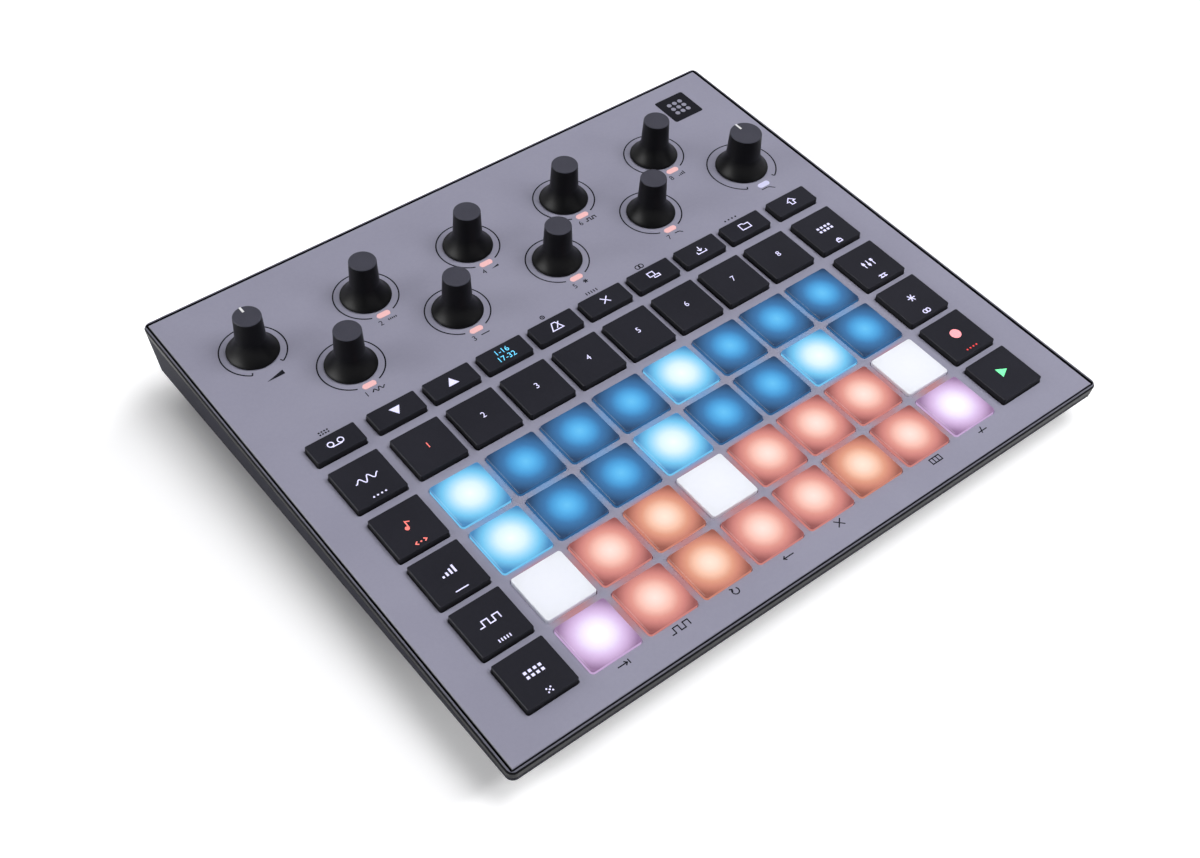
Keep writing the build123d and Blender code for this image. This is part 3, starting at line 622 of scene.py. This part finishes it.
def make_piece(name, parts, material, body):
    """Join (points, faces) parts into one piece that rides on a body."""
    points, faces, count = [], [], 0
    for part_points, part_faces in parts:
        points.append(on_panel(part_points))
        faces += [[corner + count for corner in face] for face in part_faces]
        count += len(part_points)
    mesh = bpy.data.meshes.new(name)
    mesh.from_pydata(np.vstack(points).tolist(), [], faces)
    tidy_mesh(mesh)
    mesh.materials.append(material)
    piece = add_object(name, mesh)
    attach(piece, body)
    return piece


# Knobs

def rounded_edge(radius, height, size, turn):
    """Radius and height round an edge: a circle of some size about a point that far in and down, by angle."""
    return np.column_stack([radius - size + size * np.cos(turn), height - size + size * np.sin(turn)])


def knob_profile(height, cap_r, skirt_r):
    """Radius and height from the shaft's foot to the middle of the cap.

    On the way are the hollow, the rim, the flare, the tapered neck, the cap's edge and its fine rings. With t
    from 0 to 1 up the bell-shaped flare, the radius falls to the neck as (1 - t) ** FLARE_IN while the height
    grows as t ** FLARE_UP. Over the rings the height follows a cosine of the radius.
    """
    neck_r = cap_r + KNOB_DRAFT
    rim_top = KNOB_LIFT + KNOB_RIM
    flare_top = rim_top + KNOB_FLARE
    hollow_r = skirt_r - KNOB_HOLLOW
    roof = flare_top - KNOB_FLARE / 2
    under = [(0, SHAFT_FOOT), (SHAFT_R, SHAFT_FOOT), (SHAFT_R, roof), (neck_r - KNOB_HOLLOW / 2, roof),
             (hollow_r, rim_top), (hollow_r, KNOB_LIFT)]
    quarter = np.linspace(0, math.pi / 2, QUARTER_POINTS)
    foot = rounded_edge(skirt_r, KNOB_LIFT + 2 * SKIRT_ROUND, SKIRT_ROUND, quarter[::4] - math.pi / 2)
    rim = rounded_edge(skirt_r, rim_top, SKIRT_ROUND, quarter[::4])
    way = np.linspace(0, 1, FLARE_POINTS)
    flare_r = neck_r + (skirt_r - FLARE_STEP - neck_r) * (1 - way) ** FLARE_IN
    flare = np.column_stack([flare_r, rim_top + KNOB_FLARE * way ** FLARE_UP])
    neck = np.linspace((neck_r, flare_top), (cap_r, height - NECK_END), NECK_POINTS)[1:]
    edge = rounded_edge(cap_r, height, CAP_ROUND, quarter[::3])
    ring_r = np.linspace(cap_r - CAP_RING_EDGE, 0, CAP_RING_POINTS)
    ring_wave = CAP_RING_DEPTH * np.cos(2 * math.pi * ring_r / CAP_RING_STEP)
    rings = np.column_stack([ring_r, height - CAP_RING_DROP - ring_wave])
    return np.vstack([under, foot, rim, flare, neck, edge, rings])


def make_knobs():
    """Ten turned knobs in place of the plain ones, with a white pointer on the two that stop."""
    coats = {}
    for sizes in (KNOB_SIZES, FILTER_SIZES):
        coats[sizes["cap_r"]] = knob_coat(sizes["height"], sizes["cap_r"])
    for name, x, y, sizes in KNOBS:
        height, cap_r = sizes["height"], sizes["cap_r"]
        shape = turned(knob_profile(**sizes), x, y)
        knob = make_piece(name + "_turned", [shape], coats[cap_r], name)
        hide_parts(name)
        if name in STOPPED:
            line = [(x, y + POINTER_START * cap_r), (x, y + cap_r - POINTER_END)]
            bar = ribbon(line, POINTER_WIDTH, height - POINTER_SINK, height + POINTER_RISE)
            make_piece(name + "_pointer", [bar], POINTER_PAINTED_GLOW, name)


# Marks: each is a list of strokes and fills in millimetres about its own middle

def stroke(*points, closed=False):
    """A thin line through points."""
    return "stroke", points, closed


def fill(*points):
    """A filled outline."""
    return "fill", points, True


def disc(x, y, radius):
    """A filled circle."""
    return fill(*circle(x, y, radius, DISC_SIDES))


def ring(x, y, radius):
    """A thin circle."""
    return stroke(*circle(x, y, radius, CIRCLE_SIDES), closed=True)


def square(x, y, half):
    """A filled square."""
    return fill(*four_corners(x, y, half, half))


def frame_mark(x, y, half_x, half_y):
    """A thin rectangle."""
    return stroke(*four_corners(x, y, half_x, half_y), closed=True)


def upright(x, half):
    """A thin line up and down."""
    return stroke((x, -half), (x, half))


def level(y, half):
    """A thin line across."""
    return stroke((-half, y), (half, y))


WAVE = [stroke(*[(x, 1.3 * math.sin(1.9 * x) * math.exp(-0.06 * x * x)) for x in np.linspace(-4.2, 4.2, 40)])]
NOTE = [disc(-0.7, -1.0, 0.75), stroke((-0.05, -0.9), (-0.05, 1.6), (1.3, 0.9))]
BARS = [fill((x - 0.35, -1.4), (x + 0.35, -1.4), (x + 0.35, top), (x - 0.35, top))
        for x, top in zip((-2.1, -0.7, 0.7, 2.1), (-0.6, 0.1, 0.8, 1.5))]
PULSE = [stroke((-4, -1), (-2.4, -1), (-2.4, 1.1), (-0.4, 1.1), (-0.4, -1), (1.4, -1), (1.4, 1.1), (3.4, 1.1),
                (3.4, -1))]
GRID = [square(x, y, 0.5) for y in (0.85, -0.85) for x in (-2.55, -0.85, 0.85, 2.55)]
SLIDERS = [upright(x, 1.6) for x in (-2, 0, 2)]
SLIDERS += [square(x, y, 0.55) for x, y in ((-2, 0.5), (0, -0.6), (2, 0.9))]
SPARK = [stroke((-1.6 * math.cos(a), -1.6 * math.sin(a)), (1.6 * math.cos(a), 1.6 * math.sin(a)))
         for a in np.radians([0, 60, 120])]
DOTS = [disc(x, 0, 0.42) for x in (-2.7, -0.9, 0.9, 2.7)]
SPREAD = [stroke((-1.4, 0.8), (-2.4, 0), (-1.4, -0.8)), stroke((1.4, 0.8), (2.4, 0), (1.4, -0.8)),
          disc(0, 0, 0.4)]
LEVEL = [level(0, 2.8)]
STEPS = [upright(x, 0.7) for x in (-2.4, -1.2, 0, 1.2, 2.4)]
CHANCE = [disc(x, y, 0.36) for x, y in ((-0.9, 0.8), (0.9, 0.8), (0, 0), (-0.9, -0.8), (0.9, -0.8))]
LATCH = [frame_mark(0, -0.4, 1.2, 0.7), stroke(*arc(0, 0.3, 0.8, -90, 90, 12))]
MESH = [level(y, 2) for y in (-0.7, 0.7)] + [upright(x, 1.1) for x in (-1, 1)]
LINKS = [ring(-0.8, 0, 1.0), ring(0.8, 0, 1.0)]
TAPE = [ring(-1.8, 0.2, 1.0), ring(1.8, 0.2, 1.0), level(-1.0, 1.8)]
DOWN = [fill((-2.0, 1.6), (0, -1.7), (2.0, 1.6))]
UP = [fill((-2.0, -1.6), (2.0, -1.6), (0, 1.7))]
SWAY = [stroke((-2.2, -1.6), (-0.7, 1.7), (0.7, 1.7), (2.2, -1.6), closed=True),
        stroke((0, -1.0), (1.9, 1.5))]
CROSS = [stroke((-1.4, -1.4), (1.4, 1.4)), stroke((-1.4, 1.4), (1.4, -1.4))]
COPIES = [frame_mark(-0.7, 0.45, 1.2, 1.0),
          stroke((0.9, -0.55), (1.9, -0.55), (1.9, -1.6), (-0.5, -1.6), (-0.5, -1.0))]
STORE = [stroke((0, 1.7), (0, -0.6)), stroke((-0.9, 0.3), (0, -0.6), (0.9, 0.3)),
         stroke((-1.9, -0.6), (-1.9, -1.6), (1.9, -1.6), (1.9, -0.6))]
FOLDER = [stroke((-2.0, -1.4), (2.0, -1.4), (2.0, 0.9), (0.2, 0.9), (-0.4, 1.5), (-2.0, 1.5), closed=True)]
SHIFT = [stroke((0, 1.8), (-1.8, 0.1), (-0.8, 0.1), (-0.8, -1.5), (0.8, -1.5), (0.8, 0.1), (1.8, 0.1),
                closed=True)]
RECORD = [disc(0, 0.2, 2.0)]
PLAY = [fill((-1.5, 2.0), (-1.5, -2.0), (2.2, 0))]
ONCE = [stroke((-2.2, 0), (1.4, 0)), stroke((0.5, 0.8), (1.4, 0), (0.5, -0.8)), upright(2.1, 0.9)]
LOOP = [stroke(*arc(0, 0, 1.2, 40, 330, 24)), stroke((-1.5, 1.5), (-0.55, 1.1), (-0.9, 0.2))]
BACK = [stroke((2.2, 0), (-2.0, 0)), stroke((-1.1, 0.8), (-2.0, 0), (-1.1, -0.8))]
PIANO = [frame_mark(0, 0, 2.2, 1.1)] + [upright(x, 1.1) for x in (-0.75, 0.75)]
SLICE = [level(-0.5, 2.0), stroke((0.4, 1.2), (-0.8, -1.3))]
LOUDER = [fill((-2.6, -0.6), (2.6, -0.6), (2.6, 0.9))]
ROLLOFF = [stroke((-2.6, 0.8), (0.0, 0.8), (0.9, 0.5), (1.8, -0.4), (2.4, -1.0))]
SMALL_GRID = [square(x, y, 0.3) for y in (0.5, -0.5) for x in (-1.5, -0.5, 0.5, 1.5)]
TAP = [ring(0, 0, 0.8), disc(0, 0, 0.3)]


def numerals(text, height, thickness):
    """Figures as closed plates about their own middle, in millimetres."""
    curve = bpy.data.curves.new("figures", "FONT")
    curve.body = text
    curve.align_x, curve.align_y = "CENTER", "CENTER"
    curve.size = height / FIGURE_SHARE
    curve.extrude = thickness / 2
    maker = add_object("figures", curve)
    bpy.context.view_layer.update()
    mesh = bpy.data.meshes.new_from_object(maker.evaluated_get(bpy.context.evaluated_depsgraph_get()))
    points = np.empty(3 * len(mesh.vertices))
    mesh.vertices.foreach_get("co", points)
    faces = [list(polygon.vertices) for polygon in mesh.polygons]
    bpy.data.objects.remove(maker)
    bpy.data.curves.remove(curve)
    bpy.data.meshes.remove(mesh)
    points = points.reshape(-1, 3)
    points[:, :2] -= (points[:, :2].max(0) + points[:, :2].min(0)) / 2
    return points, faces


def placed(mark, x, y, low, high, scale=1.0):
    """A mark's strokes, fills or figures at a place on the panel, between two heights."""
    if isinstance(mark, str):
        points, faces = numerals(mark, NUMBER_HEIGHT * scale, high - low)
        return [(points + [x, y, (low + high) / 2], faces)]
    parts = []
    for kind, points, closed in mark:
        path = np.asarray(points, float) * scale + [x, y]
        if kind == "fill":
            parts.append(plate(path, low, high))
        else:
            parts.append(ribbon(path, LEGEND_LINE, low, high, closed))
    return parts


def legends(body, colour, marks):
    """One lit piece of key legends of one colour, on the body of its keys."""
    parts = []
    for mark, x, y, scale in marks:
        parts += placed(mark, x, y, LEGEND_LOW, LEGEND_HIGH, scale)
    make_piece(f"{body}_{colour}", parts, LEGENDS[colour], body)


def make_legends():
    """Lit marks on the black keys: figures on the track keys, plain signs and two ranges on the others."""
    tracks = [(str(i + 1), x, TRACK_ROW + MARK_RISE, 1.0) for i, x in enumerate(COLUMNS)]
    legends("track_keys", "salmon", tracks[:1])
    legends("track_keys", "lavender", tracks[1:])
    rows = [y + MARK_RISE for y in SQUARE_ROWS]
    feet = [y + LOWER_MARK for y in SQUARE_ROWS]
    left = [(mark, -SIDE_X, y, 1.0) for mark, y in zip((WAVE, NOTE, BARS, PULSE, GRID), rows)]
    lower = (DOTS, SPREAD, LEVEL, STEPS, CHANCE)
    left_low = [(mark, -SIDE_X, y, LOWER_SCALE) for mark, y in zip(lower, feet)]
    legends("left_keys", "salmon", [left.pop(1), left_low.pop(1)])
    legends("left_keys", "lavender", left + left_low)
    right = [(mark, SIDE_X, y, 1.0) for mark, y in zip((GRID, SLIDERS, SPARK), rows)]
    right += [(mark, SIDE_X, y, LOWER_SCALE) for mark, y in zip((LATCH, MESH, LINKS), feet)]
    legends("right_keys", "lavender", right)
    legends("right_keys", "pink", [(RECORD, SIDE_X, rows[3], 1.0)])
    legends("right_keys", "red", [(DOTS, SIDE_X, feet[3], LOWER_SCALE)])
    legends("right_keys", "green", [(PLAY, SIDE_X, rows[4], 1.0)])
    places = [-SIDE_X] + COLUMNS + [SIDE_X]
    small = [TAPE, DOWN, UP, None, SWAY, CROSS, COPIES, STORE, FOLDER, SHIFT]
    legends("small_keys", "lavender", [(mark, x, SMALL_ROW, 1.0) for mark, x in zip(small, places) if mark])
    ranges = (("1-16", RANGE_RISE), ("17-32", RANGE_DROP))
    legends("small_keys", "cyan", [(text, places[3], SMALL_ROW + y, NUMBER_SCALE) for text, y in ranges])


def knob_rings():
    """Printed rings round the knobs, open at the front, with a tick at both ends where a knob stops."""
    parts = []
    for name, x, y, sizes in KNOBS:
        stops = name in STOPPED
        radius = FILTER_RING_R if sizes is FILTER_SIZES else RING_R
        gap = STOP_GAP if stops else RING_GAP
        lines = [arc(x, y, radius, FRONT + gap, FRONT + 360 - gap, RING_POINTS)]
        ends = (FRONT - gap, FRONT + gap) if stops else ()
        for end in ends:
            lines.append(np.vstack([arc(x, y, r, end, end, 1) for r in (radius - STOP_TICK, radius)]))
        parts += [ribbon(line, RING_LINE, INK_LOW, INK_HIGH) for line in lines]
    return parts


def printed_signs():
    """Signs with their places and scales: before the knobs, behind the narrow keys and before the pads."""
    signs = [(LOUDER, -SIDE_X, UPPER_ROW - SIGN_DROP, VOLUME_SIGN_SCALE),
             (ROLLOFF, SIDE_X, LOWER_ROW - FILTER_SIGN_DROP, 1.0)]
    macro_signs = (WAVE, STEPS, LEVEL, LOUDER, SPARK, PULSE, ROLLOFF, BARS)
    for i, ((_, x, y), sign) in enumerate(zip(MACROS, macro_signs)):
        signs += [(str(i + 1), x + NUMBER_SHIFT, y - SIGN_DROP, NUMBER_SCALE),
                  (sign, x + SIGN_SHIFT, y - SIGN_DROP, MACRO_SIGN_SCALE)]
    signs.append((SMALL_GRID, -SIDE_X, REAR_SIGNS, 1.0))
    for mark, column in ((TAP, 3), (STEPS, 4), (LINKS, 5), (DOTS, 7)):
        signs.append((mark, COLUMNS[column], REAR_SIGNS, REAR_SIGN_SCALE))
    front = (ONCE, PULSE, LOOP, BACK, CROSS, None, PIANO, SLICE)
    return signs + [(mark, x, FRONT_SIGNS, FRONT_SIGN_SCALE) for mark, x in zip(front, COLUMNS) if mark]


def make_print():
    """Dark print on the panel: rings round the knobs, knob numbers, plain signs and a badge of nine dots."""
    parts = knob_rings()
    for mark, x, y, scale in printed_signs():
        parts += placed(mark, x, y, INK_LOW, INK_HIGH, scale)
    parts.append(plate(rounded_square(*BADGE_AT, BADGE_HALF, BADGE_CORNER), INK_LOW, INK_HIGH))
    make_piece("panel_print", parts, INK, "case")
    dots = [disc(x, y, DOT_R) for x in DOT_PLACES for y in DOT_PLACES]
    parts = placed(dots, *BADGE_AT, INK_HIGH - DOT_SINK, INK_HIGH + DOT_RISE)
    make_piece("badge_dots", parts, FINISHES["panel"], "case")


# Room and camera: the camera's places are on the panel and the lamps' in the object's frame, in millimetres

CAMERA_AT = (-242.3, -272.65, 388.95)
CAMERA_AIM = (-26.27, -22.57, 1.68)
CAMERA_ROLL = -0.5
CAMERA_LENS = 48.12
SENSOR_WIDTH = 36.0

# Name, place, aim, side in metres, watts, and whether it shows in reflections and lights matt surfaces
LAMPS = [
    ("key_panel", (380, -260, 1110), (0, 0, 0), 0.8, 12.2, False, True),
    ("left_softbox", (-760, 300, 480), (-40, 0, 20), 0.45, 2.2, True, True),
    ("left_gleam", (-760, 300, 480), (-40, 0, 20), 0.35, 9.0, True, False),
    ("front_lamp", (520, -620, 560), (0, 0, 20), 0.2, 0.7, True, True),
]
SKY_LIGHT = 0.15
CEILING_LOW, CEILING_HIGH, CEILING_SHADE = 0.25, 0.75, 0.95

# The floor's own painted light for the camera, and the stretches over which it comes and goes, in metres
FLOOR_HALF = 3.0
FLOOR_LIFT = 0.24
FRONT_LIFT = 0.2
REAR_LIFT = 0.24
AWAY = (0.18, 0.9)
PAST_FRONT = (0.006, 0.012)
PAST_REAR = (-0.014, 0.01)
SHADE_START = (-0.0105, -0.0085)
SHADE_END = (-0.0065, 0.0065)
SHADE_FRONT = (0.02, 0.09)
SHADE_REAR = (-0.02, 0.006)


def look_at(at, aim):
    """The turn that points a camera or a lamp from its place to an aim."""
    return (Vector(aim) - Vector(at)).to_track_quat("-Z", "Y")


def make_camera():
    """A camera in front, to the left and above, placed by the panel."""
    data = bpy.data.cameras.new("camera")
    data.sensor_width = SENSOR_WIDTH
    data.lens = CAMERA_LENS
    camera = add_object("camera", data)
    at, aim = (Vector(on_panel(place)) for place in (CAMERA_AT, CAMERA_AIM))
    roll = Matrix.Rotation(math.radians(CAMERA_ROLL), 3, "Z")
    camera.matrix_world = Matrix.Translation(at) @ (look_at(at, aim).to_matrix() @ roll).to_4x4()
    bpy.context.scene.camera = camera


def make_lamp(name, at, aim, side, power, mirrored, matt):
    """A square lamp turned to an aim, for reflections, matt light or both."""
    data = bpy.data.lights.new(name, "AREA")
    data.shape = "SQUARE"
    data.size = side
    data.energy = power
    lamp = add_object(name, data)
    lamp.location = Vector(at) * MM
    lamp.rotation_euler = look_at(at, aim).to_euler()
    lamp.visible_glossy = mirrored
    lamp.visible_diffuse = matt


def seen_rays(tree):
    """1 for rays of the camera, of reflections and through glass, which show the background; 0 for light."""
    kinds = ("Camera", "Glossy", "Transmission")
    camera, mirror, glass = (Wire(tree).node("LightPath", output=f"Is {kind} Ray") for kind in kinds)
    return (camera + mirror + glass).capped()


def past(way, edge, stretch):
    """A smooth step over a stretch that is measured from an edge."""
    return way.step(edge + stretch[0], edge + stretch[1])


def floor_paper():
    """Pale matt paper with some painted light of its own for the camera: white far away, less near the
    object.

    There is more of that painted light in front of the object and behind it, and none close beside its left
    wall, which leaves a painted shadow there.
    """
    paper = bpy.data.materials.new("floor_paper")
    paper.use_nodes = True
    tree = paper.node_tree
    tree.nodes.remove(tree.nodes["Principled BSDF"])
    (left, front, _), (_, rear, _) = CAD_BOX
    seen = seen_rays(tree)
    place = Wire(tree).node("TexCoord", output="Object")
    away = place.node("VectorMath", {"operation": "LENGTH"}, {0: place}, 1).step(*AWAY)
    depth = place.along((0, 1, 0))
    aside = place.along((-1, 0, 0)) + left
    beside = past(depth, front, SHADE_FRONT) * (1 - past(depth, rear, SHADE_REAR))
    shade = beside * aside.step(*SHADE_START) * (1 - aside.step(*SHADE_END))
    ends = FRONT_LIFT * (1 - past(depth, front, PAST_FRONT)) + REAR_LIFT * past(depth, rear, PAST_REAR)
    lift = seen * (FLOOR_LIFT * (1 - shade) + ends + (1 - FLOOR_LIFT) * away)
    matt = seen.node("BsdfDiffuse", None, {"Color": linear(238, 238, 240)})
    bright = seen.node("Emission", None, {"Color": WHITE, "Strength": lift})
    both = seen.node("AddShader", None, {0: matt, 1: bright})
    both.join(both, tree.nodes["Material Output"].inputs["Surface"])
    return paper


def make_floor():
    """A flat square floor, which isn't part of the object."""
    ground = [(x, y, 0) for x, y in four_corners(0, 0, FLOOR_HALF, FLOOR_HALF)]
    mesh = bpy.data.meshes.new("floor")
    mesh.from_pydata(ground, [], [(0, 1, 2, 3)])
    mesh.materials.append(floor_paper())
    floor = add_object("floor", mesh)


def make_world():
    """A white world that gives little light, and whose ceiling is dark where it shows in reflections."""
    world = bpy.data.worlds.new("studio")
    bpy.context.scene.world = world
    world.use_nodes = True
    tree = world.node_tree
    background = tree.nodes["Background"]
    background.inputs["Color"].default_value = WHITE
    seen = seen_rays(tree)
    facing = Wire(tree).node("TexCoord", output="Generated").along((0, 0, 1))
    ceiling = facing.step(CEILING_LOW, CEILING_HIGH)
    sky = SKY_LIGHT + seen * (1 - SKY_LIGHT - CEILING_SHADE * ceiling)
    sky.join(sky, background.inputs["Strength"])


dress_solids()
make_knobs()
make_legends()
make_print()
make_camera()
make_floor()
make_world()
for lamp in LAMPS:
    make_lamp(*lamp)
bpy.context.scene.view_settings.view_transform = "Standard"
